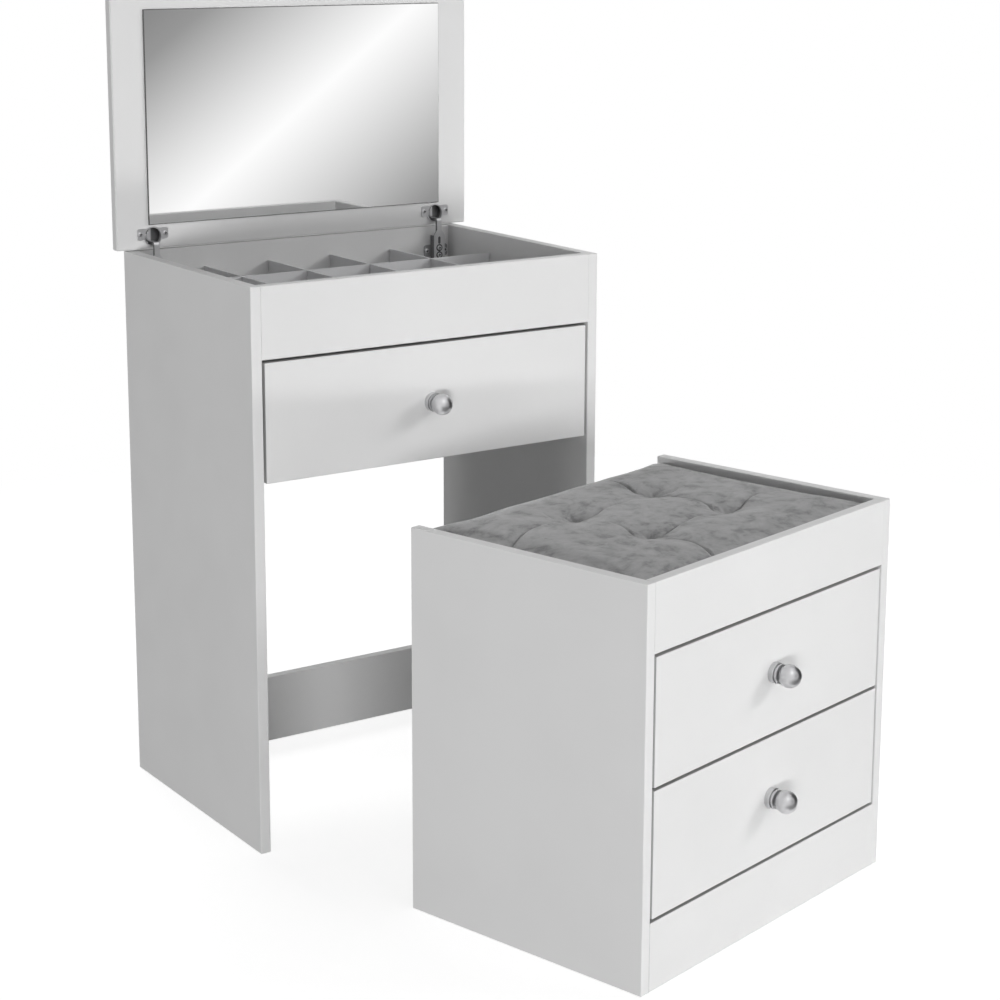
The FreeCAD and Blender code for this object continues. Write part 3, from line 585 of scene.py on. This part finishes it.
# Folds sewn into the seat between the tufts and the edges: points in the stool's own frame, in
# millimetres, then depth at the first and the last point
FOLDS = [
    ([(79.8, 65.7), (70, 84), (76, 102), (88, 128), (94, 150)], 3.4, 1.0),
    ([(79.8, 65.7), (92, 57), (104, 52), (124, 56)], 2.0, 0.3),
    ([(79.8, -50.2), (99, -55), (132, -46), (157, -42), (178, -47), (200, -50)], 3.4, 0.8),
    ([(79.8, -50.2), (72, -36), (84, -13), (86, 12), (79.8, 65.7)], 1.8, 1.2),
    ([(-79.8, 65.7), (-60, 56), (-37, 60), (-15, 62), (4, 59), (30, 60)], 3.2, 0.5),
    ([(-79.8, 65.7), (-98, 70), (-102, 84), (-97, 104)], 1.8, 0.4),
    ([(-79.8, -50.2), (-64, -59), (-27, -53), (9, -46), (33, -47), (58, -58), (79.8, -50.2)], 3.4, 2.2),
    ([(-79.8, -50.2), (-92, -40), (-87, -25), (-79, -8), (-76, 14)], 2.2, 0.4),
    ([(-79.8, 65.7), (-112, 70), (-149, 68), (-176, 65), (-208, 54), (-236, 44)], 1.4, 2.4),
    ([(-79.8, -50.2), (-84, -78), (-78, -108), (-81, -127), (-89, -147), (-95, -163)], 1.2, 2.2),
]


def turned(points, angle):
    """Points turned about the vertical."""
    c, s = math.cos(angle), math.sin(angle)
    x, y, z = points.T
    return np.stack([c * x - s * y, c * y + s * x, z], 1)


def to_stool(points):
    """Points of the row frame, as an array, in the stool's own frame."""
    return turned(points - np.array(STOOL_AT), -STOOL_TURN)


def from_stool(points):
    """The way back."""
    return turned(points, STOOL_TURN) + np.array(STOOL_AT)


def coordinates(mesh):
    """A mesh's points as an array."""
    flat = np.zeros(len(mesh.vertices) * 3)
    mesh.vertices.foreach_get("co", flat)
    return flat.reshape(-1, 3)


def place(mesh, points):
    """Write points back to a mesh."""
    mesh.vertices.foreach_set("co", points.ravel())
    mesh.update()


def settled(obj):
    """Replace an object's mesh by what its modifiers make of it."""
    graph = bpy.context.evaluated_depsgraph_get()
    made = bpy.data.meshes.new_from_object(obj.evaluated_get(graph))
    obj.modifiers.clear()
    obj.data = made


def smooth_line(points, step=0.002):
    """Points every few millimetres along a smooth curve through the given ones."""
    p = np.array(points, float) / 1000
    p = np.vstack([2 * p[0] - p[1], p, 2 * p[-1] - p[-2]])
    line = []
    for a, b, c, d in zip(p[:-3], p[1:-2], p[2:-1], p[3:]):
        for t in np.arange(0, 1, step / max(np.linalg.norm(c - b), step)):
            line.append(0.5 * (2 * b + (c - a) * t + (2 * a - 5 * b + 4 * c - d) * t ** 2
                               + (3 * b - a - 3 * c + d) * t ** 3))
    line.append(p[-2])
    return np.array(line)


def near_line(xy, line):
    """For each point the nearest one of a line: its number, its distance, and 1 on the front side."""
    gap = np.full(len(xy), 1.0)
    near = np.zeros(len(xy), int)
    side = np.zeros(len(xy))
    close = np.all((xy > line.min(0) - 0.03) & (xy < line.max(0) + 0.03), axis=1)
    here = xy[close]
    apart = np.hypot(here[:, None, 0] - line[None, :, 0], here[:, None, 1] - line[None, :, 1])
    near[close] = apart.argmin(1)
    gap[close] = apart.min(1)
    ahead = (here - line[near[close]]) @ np.array([-0.5, -0.85])
    side[close] = ahead > 0
    return near, gap, side


def fold_depth(xy):
    """How far the folds draw the cover down at each point, in metres, with a lip on the front side."""
    depth = np.zeros(len(xy))
    lip = np.zeros(len(xy))
    for points, first, last in FOLDS:
        line = smooth_line(points)
        near, gap, side = near_line(xy, line)
        here = FOLD_DEPTH * (first + (last - first) * near / (len(line) - 1)) / 1000
        crease = 0.65 * np.exp(-gap / 0.0022) + 0.35 * np.exp(-(gap / 0.011) ** 2)
        depth = np.maximum(depth, here * crease)
        lip = np.maximum(lip, 0.30 * here * side * np.exp(-((gap - 0.0048) / 0.0040) ** 2))
    return depth - lip


def near_tufts(xy):
    """Distance to the nearest tuft."""
    return np.min([np.hypot(xy[:, 0] - x, xy[:, 1] - y) for x, y in TUFTS], 0)


def near_folds(xy):
    """Distance to the nearest fold, or a shortened one to the nearest tuft if that is less."""
    gap = np.min([near_line(xy, smooth_line(points))[1] for points, _, _ in FOLDS], 0)
    return np.minimum(gap, near_tufts(xy) * 0.6)


def refine(mesh, reach):
    """Halve the upper faces that lie near a fold or a tuft."""
    work = bmesh.new()
    work.from_mesh(mesh)
    local = to_stool(np.array([v.co for v in work.verts]))
    close = (near_folds(local[:, :2]) < reach) & (local[:, 2] > SEAT_Z + CUSHION_UPPER)
    found = {e for f in work.faces if all(close[v.index] for v in f.verts) for e in f.edges}
    edges = sorted(found, key=lambda e: e.index)
    bmesh.ops.subdivide_edges(work, edges=edges, cuts=1, use_grid_fill=True)
    work.to_mesh(mesh)
    work.free()
    mesh.update()


def tuft_depth(xy):
    """How far the sewn tufts draw the cover down, with small pleats running out of each."""
    depth = np.zeros(len(xy))
    for i, (x, y) in enumerate(TUFTS):
        dx, dy = xy[:, 0] - x, xy[:, 1] - y
        r = np.hypot(dx, dy)
        turn = np.arctan2(dy, dx)
        pleats = np.cos(9 * turn + 1.7 * i) + 0.6 * np.cos(5 * turn + 0.9 * i)
        depth += 0.0035 * np.exp(-r / 0.006) + 0.0055 * np.exp(-(r / 0.030) ** 2)
        depth += 0.0006 * pleats * np.exp(-((r - 0.018) / 0.011) ** 2)
    return depth


def filled_height(local):
    """Height of a pad that fills its recess: full to the walls, rolled edges, crowned middle."""
    x, y = local[:, 0], local[:, 1]
    wall = np.minimum(CUSHION_HALF - np.abs(x), np.minimum(y - CUSHION_FRONT, CUSHION_BACK - y))
    wall = np.maximum(wall, 0.0)
    roll = np.maximum(1 - wall / CUSHION_ROLL, 0.0)
    edge = CUSHION_ROLL * (1 - np.sqrt(1 - roll ** 2))
    return SEAT_Z + CUSHION_EDGE + CUSHION_CROWN * (1 - np.exp(-wall / 0.045)) - edge


def even_pad():
    """The CAD solid of the cushion, drawn in a little and remeshed evenly."""
    mesh = nodes["stool_cushion"].data.copy()
    weld = bmesh.new()
    weld.from_mesh(mesh)
    bmesh.ops.remove_doubles(weld, verts=weld.verts, dist=1e-5)
    weld.to_mesh(mesh)
    weld.free()
    pad = bpy.data.objects.new("seat_cushion", mesh)
    bpy.context.scene.collection.objects.link(pad)
    start = to_stool(coordinates(mesh))
    middle = (CUSHION_FRONT + CUSHION_BACK) / 2
    start[:, 0] *= SLACK_WIDE
    start[:, 1] = middle + (start[:, 1] - middle) * SLACK_DEEP
    start[:, 2] = SEAT_Z + (start[:, 2] - SEAT_Z) * SLACK_HIGH
    place(mesh, from_stool(start))
    remesh = pad.modifiers.new("even", "REMESH")
    remesh.mode = "VOXEL"
    remesh.voxel_size = VOXEL
    settled(pad)
    return pad


def swell(pad):
    """Blow the pad up as cloth, held at its tufts and along the seat board."""
    before = coordinates(pad.data)
    local = to_stool(before)
    held = pad.vertex_groups.new(name="held")
    sewn = near_tufts(local[:, :2]) < SEWN_R
    low = local[:, 2] < SEAT_Z + HELD_HIGH
    held.add([int(i) for i in np.nonzero(sewn | low)[0]], 1.0, "REPLACE")
    cloth = pad.modifiers.new("swell", "CLOTH")
    cloth.settings.quality = 5
    cloth.settings.mass = 0.3
    cloth.settings.tension_stiffness = 12
    cloth.settings.compression_stiffness = 12
    cloth.settings.shear_stiffness = 5
    cloth.settings.bending_stiffness = 0.4
    cloth.settings.use_pressure = True
    cloth.settings.uniform_pressure_force = 4.0
    cloth.settings.effector_weights.gravity = 0.0
    cloth.settings.vertex_group_mass = "held"
    cloth.point_cache.frame_start = 1
    cloth.point_cache.frame_end = SWELL_STEPS
    for step in range(1, SWELL_STEPS + 1):
        bpy.context.scene.frame_set(step)
    settled(pad)
    bpy.context.scene.frame_set(1)
    moved = coordinates(pad.data) - before
    reach = np.linalg.norm(moved, axis=1)
    moved *= np.minimum(1.0, SWELL_CAP / np.maximum(reach, 1e-9))[:, None]
    place(pad.data, before + moved)


def sew(pad):
    """Fill the pad out to its recess and draw in its tufts and folds."""
    local = to_stool(coordinates(pad.data))
    facing = np.zeros(len(local) * 3)
    pad.data.vertices.foreach_get("normal", facing)
    upper = np.clip((facing[2::3] - 0.15) / 0.4, 0, 1) * (local[:, 2] > SEAT_Z + CUSHION_UPPER)
    local[:, 0] *= CUSHION_HALF / np.abs(local[:, 0]).max()
    low, high = local[:, 1].min(), local[:, 1].max()
    local[:, 1] = CUSHION_FRONT + (local[:, 1] - low) * (CUSHION_BACK - CUSHION_FRONT) / (high - low)
    local[:, 2] += upper * FILLED * (filled_height(local) - tuft_depth(local[:, :2]) - local[:, 2])
    wave = np.array([noise.noise(Vector((x * 18, y * 18, 0.3))) for x, y, _ in local])
    local[:, 2] += upper * (0.0010 * wave - fold_depth(local[:, :2]))
    local[:, 0] = np.clip(local[:, 0], -CUSHION_HALF, CUSHION_HALF)
    local[:, 1] = np.clip(local[:, 1], CUSHION_FRONT, CUSHION_BACK)
    local[:, 2] = np.maximum(local[:, 2], SEAT_Z + 0.0002)
    place(pad.data, from_stool(local))


def seat_cushion():
    """Stuffed pad: the CAD solid remeshed, swollen as cloth, then sewn with folds and tufts."""
    pad = even_pad()
    swell(pad)
    finer = pad.modifiers.new("finer", "SUBSURF")
    finer.levels = 1
    finer.render_levels = 1
    settled(pad)
    refine(pad.data, FINE_REACH)
    refine(pad.data, FINER_REACH)
    sew(pad)
    pad.data.polygons.foreach_set("use_smooth", [True] * len(pad.data.polygons))
    pad.data.materials.clear()
    pad.data.materials.append(materials["seat_velvet"])
    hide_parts("stool_cushion")
    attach(pad, "stool")


seat_cushion()


# Stage: floor, lights, studio cards and camera

def sheet(name, corners, faces=((0, 1, 2, 3),)):
    """Stage sheet of flat faces between corners."""
    mesh = bpy.data.meshes.new(name)
    mesh.from_pydata([tuple(c) for c in corners], [], faces)
    obj = bpy.data.objects.new(name, mesh)
    bpy.context.scene.collection.objects.link(obj)
    return obj


def seen_directly(tree):
    """1 for rays of the camera, and for mirrored and refracted ones."""
    path = put(tree, "ShaderNodeLightPath")
    first = put(tree, "ShaderNodeMath", operation="MAXIMUM")
    tree.links.new(path.outputs["Is Camera Ray"], first.inputs[0])
    tree.links.new(path.outputs["Is Glossy Ray"], first.inputs[1])
    second = put(tree, "ShaderNodeMath", operation="MAXIMUM")
    tree.links.new(first.outputs[0], second.inputs[0])
    tree.links.new(path.outputs["Is Transmission Ray"], second.inputs[1])
    return second.outputs[0]


def summed(tree, first, second):
    """Two shaders added up."""
    node = put(tree, "ShaderNodeAddShader")
    tree.links.new(first, node.inputs[0])
    tree.links.new(second, node.inputs[1])
    return node.outputs[0]


def picked(tree, choice, first, second):
    """First shader where the choice is 0, second where it is 1."""
    node = put(tree, "ShaderNodeMixShader")
    tree.links.new(choice, node.inputs[0])
    tree.links.new(first, node.inputs[1])
    tree.links.new(second, node.inputs[2])
    return node.outputs[0]


def lit(tree, tone, strength):
    """Matte surface that also glows."""
    matte = put(tree, "ShaderNodeBsdfDiffuse", Color=(tone, tone, tone, 1))
    glow = put(tree, "ShaderNodeEmission", Color=(1, 1, 1, 1), Strength=strength)
    return summed(tree, matte.outputs[0], glow.outputs[0])


def floor_material():
    """White lit floor: it reads as the white background and keeps a faint shadow near the object."""
    mat, tree, shader = new_material("floor")
    tree.nodes.remove(shader)
    reach = put(tree, "ShaderNodeVectorMath", operation="LENGTH")
    tree.links.new(object_point(tree), reach.inputs[0])
    far = remap(tree, reach.outputs["Value"], 0.9, 2.2, 0.0, 1.0)
    white = put(tree, "ShaderNodeEmission", Color=(1, 1, 1, 1), Strength=1.0)
    shown = picked(tree, far, lit(tree, 0.35, 0.85), white.outputs[0])
    surface = picked(tree, seen_directly(tree), lit(tree, 0.12, FLOOR_LIGHT), shown)
    tree.links.new(surface, tree.nodes["Material Output"].inputs["Surface"])
    return mat


FLOOR_SIGNS = ((-1, -1), (1, -1), (1, 1), (-1, 1))
floor = sheet("floor", [(x * FLOOR_REACH, y * FLOOR_REACH, 0.0) for x, y in FLOOR_SIGNS])
floor.location.z = FLOOR_Z
floor.data.materials.append(floor_material())

world = bpy.data.worlds.new("studio")
bpy.context.scene.world = world
world.use_nodes = True
sky = world.node_tree
ambient = sky.nodes["Background"]
ambient.inputs["Color"].default_value = (1, 1, 1, 1)
ambient.inputs["Strength"].default_value = AMBIENT
backdrop = put(sky, "ShaderNodeBackground", Color=(1, 1, 1, 1), Strength=1.0)
around = picked(sky, seen_directly(sky), ambient.outputs[0], backdrop.outputs[0])
sky.links.new(around, sky.nodes["World Output"].inputs["Surface"])


def soft_box(name, at, aim, width, height, watts):
    """Studio light aimed at a point, lighting matte surfaces only: metal and glass show the cards."""
    data = bpy.data.lights.new(name, "AREA")
    data.shape = "RECTANGLE"
    data.size = width
    data.size_y = height
    data.energy = watts
    lamp = bpy.data.objects.new(name, data)
    lamp.location = at
    lamp.rotation_mode = "QUATERNION"
    lamp.rotation_quaternion = (Vector(aim) - Vector(at)).to_track_quat("-Z", "Y")
    lamp.visible_glossy = False
    bpy.context.scene.collection.objects.link(lamp)


soft_box("key", (-2.75, -4.3, 0.3), AIM, 1.6, 0.6, 120.0)
soft_box("left", (-5.0, 0.2, 0.55), AIM, 1.6, 1.1, 59.0)
soft_box("front_low", (1.1, -2.45, 0.06), LOW_AIM, 3.0, 0.1, 21.0)
soft_box("right_high", (4.2, -2.4, 2.8), AIM, 2.6, 1.6, 111.0)
soft_box("front_high", (0.4, -4.4, 2.8), AIM, 2.6, 1.6, 35.0)
soft_box("top", (0.0, -0.5, 4.8), AIM, 3.0, 3.0, 15.0)
soft_box("back", (0.2, 3.0, 4.5), AIM, 1.4, 1.4, 85.0)
soft_box("rear", (2.2, 5.0, 0.35), AIM, 2.4, 0.7, 95.0)


def studio_card(name, mat, corners, faces=((0, 1, 2, 3),)):
    """Stage card that shows in shiny surfaces only."""
    card = sheet(name, corners, faces)
    card.data.materials.append(mat)
    card.visible_camera = False
    card.visible_diffuse = False
    card.visible_shadow = False
    card.visible_transmission = False


def glowing(name, strength):
    """Material of plain light; returns it with its tree and its colour input."""
    mat, tree, shader = new_material(name)
    tree.nodes.remove(shader)
    glow = put(tree, "ShaderNodeEmission", Strength=strength)
    tree.links.new(glow.outputs[0], tree.nodes["Material Output"].inputs["Surface"])
    return mat, tree, glow.inputs["Color"]


def reflector():
    """Grey card with a bright diagonal band, for the mirror to show."""
    mat, tree, colour = glowing("card", 1.0)
    x, _, z = axes(tree, object_point(tree))
    across = remap(tree, blend_sum(tree, z, x, -0.74), -1.3, 0.3, 0.0, 1.0)
    band = greys((0.0, 0.24), (0.10, 0.31), (0.494, 1.05), (0.82, 0.33), (1.0, 0.20))
    tree.links.new(ramp(tree, across, band), colour)
    studio_card("card", mat, [(0.4, -2.5, -0.1), (2.8, -2.5, -0.1), (2.8, -2.5, 1.5), (0.4, -2.5, 1.5)])


def flag():
    """Dark card to the right, for round metal to show a dark rim."""
    mat, tree, shader = new_material("flag")
    shader.inputs["Roughness"].default_value = 0.9
    shader.inputs["Specular IOR Level"].default_value = 0.0
    nap = noise_at(tree, object_point(tree), 40.0)
    tree.links.new(ramp(tree, nap, greys((0.3, 0.02), (0.7, 0.03))), shader.inputs["Base Color"])
    corners = [(0.8, -1.7, 0.002), (1.0, 0.7, 0.002), (2.6, 0.7, 0.002), (2.1, -1.9, 0.002),
               (2.6, 0.7, 3.0), (2.1, -1.9, 3.0)]
    studio_card("flag", mat, corners, [(0, 3, 2, 1), (3, 5, 4, 2)])


def apron():
    """Grey card on the floor in front, for round metal to show a shaded underside."""
    mat, tree, colour = glowing("apron", 1.0)
    left, right, front, z = -0.25, 0.85, -1.7, 0.0015
    across = remap(tree, axes(tree, object_point(tree))["X"], left, right, 0.0, 1.0)
    tree.links.new(ramp(tree, across, greys((0.0, 0.60), (0.35, 0.30), (1.0, 0.12))), colour)
    studio_card("apron", mat, [(left, front, z), (right, front, z), (right, -0.40, z), (left, -0.66, z)])


def highlight():
    """Bright card high in front, for round metal to show a soft highlight."""
    mat, tree, colour = glowing("highlight", 3.2)
    nap = noise_at(tree, object_point(tree), 4.0)
    tree.links.new(ramp(tree, nap, greys((0.3, 0.96), (0.7, 1.0))), colour)
    corners = [(-1.1, -2.3, 3.9), (0.1, -2.3, 3.9), (0.1, -3.2, 3.2), (-1.1, -3.2, 3.2)]
    studio_card("highlight", mat, corners)


reflector()
flag()
apron()
highlight()


def camera():
    """Camera with the photograph's angle and framing."""
    data = bpy.data.cameras.new("camera")
    data.lens = CAMERA_LENS
    data.sensor_width = 36.0
    data.shift_y = CAMERA_SHIFT_Y
    data.clip_start = 0.05
    data.clip_end = 100.0
    obj = bpy.data.objects.new("camera", data)
    flat = math.cos(CAMERA_DOWN)
    ahead = Vector((math.sin(CAMERA_TURN) * flat, math.cos(CAMERA_TURN) * flat, -math.sin(CAMERA_DOWN)))
    right = Vector((math.cos(CAMERA_TURN), -math.sin(CAMERA_TURN), 0.0))
    up = right.cross(ahead)
    side = right * math.cos(CAMERA_ROLL) + up * math.sin(CAMERA_ROLL)
    head = up * math.cos(CAMERA_ROLL) - right * math.sin(CAMERA_ROLL)
    turn = Matrix((side, head, -ahead)).transposed()
    obj.matrix_world = Matrix.Translation(CAMERA_AT) @ turn.to_4x4()
    bpy.context.scene.collection.objects.link(obj)
    bpy.context.scene.camera = obj


camera()
bpy.context.scene.view_settings.view_transform = "Standard"
